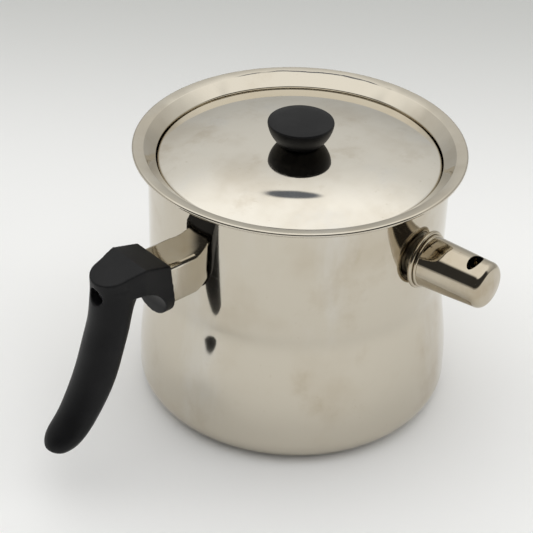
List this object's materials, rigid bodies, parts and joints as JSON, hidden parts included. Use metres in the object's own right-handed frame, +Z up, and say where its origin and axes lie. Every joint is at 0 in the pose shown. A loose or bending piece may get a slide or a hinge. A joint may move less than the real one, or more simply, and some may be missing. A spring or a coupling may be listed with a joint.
{
  "type": "candle melting pot",
  "caption": "Double-walled steel melting pot with a flared pouring rim, recessed lid with knob, pistol-grip handle and a filler stub closed by a push-on whistle cap.",
  "frame": {"origin": "centre of the flat underside of the base, on the plane it stands on", "axes": "+Z up along the pot's axis; the filler stub points along -Y; the handle points 10 degrees past -X, towards +Y"},
  "size_m": [0.266, 0.2211, 0.1701],
  "materials": {
    "polished_steel": "mirror polished stainless steel, slightly stained",
    "satin_steel": "plain rolled stainless steel",
    "aluminium": "as cast",
    "phenolic": "matt black phenolic moulding",
    "brass": "turned",
    "zinc_screw": "zinc plated"
  },
  "bodies": {
    "pot": {"outer_jacket": "polished_steel", "inner_pot": "polished_steel", "base_plate": "aluminium", "base_cap": "satin_steel", "filler_stub": "satin_steel", "handle_bracket": "polished_steel", "bracket_plate": "satin_steel", "bracket_nut": "zinc_screw", "handle_grip": "phenolic", "handle_washer": "zinc_screw", "handle_screw": "zinc_screw"},
    "lid": {"lid_disc": "polished_steel", "lid_knob": "phenolic", "knob_insert": "brass", "knob_washer": "zinc_screw", "knob_screw": "zinc_screw"},
    "whistle_cap": {"cap_shell": "polished_steel", "cap_sleeve": "satin_steel", "whistle_inner": "satin_steel", "whistle_outer": "satin_steel"}
  },
  "joints": [
    {"name": "lid_lift", "type": "slide", "parent": "pot", "child": "lid", "axis": [0, 0, 1], "range_m": [0, 0.06]},
    {"name": "cap_pull", "type": "slide", "parent": "pot", "child": "whistle_cap", "axis": [0, -1, 0], "range_m": [0, 0.045]}
  ]
}
